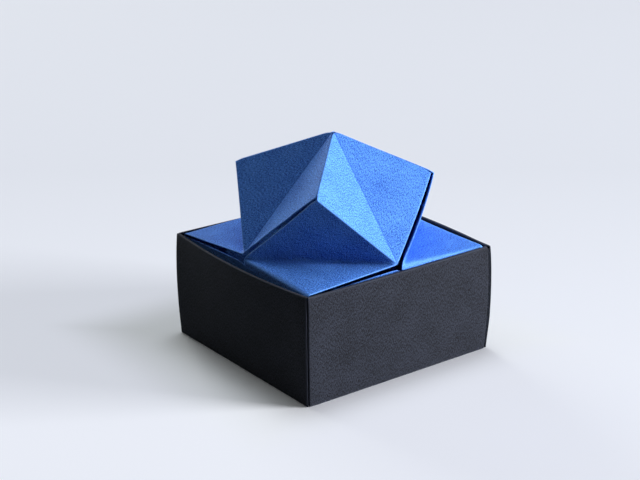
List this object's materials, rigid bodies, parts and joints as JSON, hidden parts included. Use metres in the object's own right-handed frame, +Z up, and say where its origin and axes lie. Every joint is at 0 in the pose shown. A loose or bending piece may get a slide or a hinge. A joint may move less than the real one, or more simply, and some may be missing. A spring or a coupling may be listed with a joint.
{
  "type": "origami box",
  "caption": "Square folded-paper box: a low tray with interlocked walls and a lift-out lid with a faceted cube-corner knob, for keeping small things.",
  "frame": {"origin": "middle of the tray's underside", "axes": "+Z up, the way the lid lifts; X and Y square to the tray's walls, with the corner nearest the camera at -X -Y"},
  "size_m": [0.075, 0.075, 0.0737],
  "materials": {
    "black_paper": "matte uncoated paper",
    "blue_paper": "matte uncoated paper"
  },
  "bodies": {
    "tray": {"tray_sheet_front": "black_paper", "tray_sheet_right": "black_paper", "tray_sheet_back": "black_paper", "tray_sheet_left": "black_paper"},
    "lid": {"lid_sheet_front_left": "blue_paper", "lid_sheet_front_right": "blue_paper", "lid_sheet_back_right": "blue_paper", "lid_sheet_back_left": "blue_paper"}
  },
  "joints": [
    {"name": "lid_lift", "type": "slide", "parent": "tray", "child": "lid", "axis": [0, 0, 1], "range_m": [0, 0.045]}
  ]
}
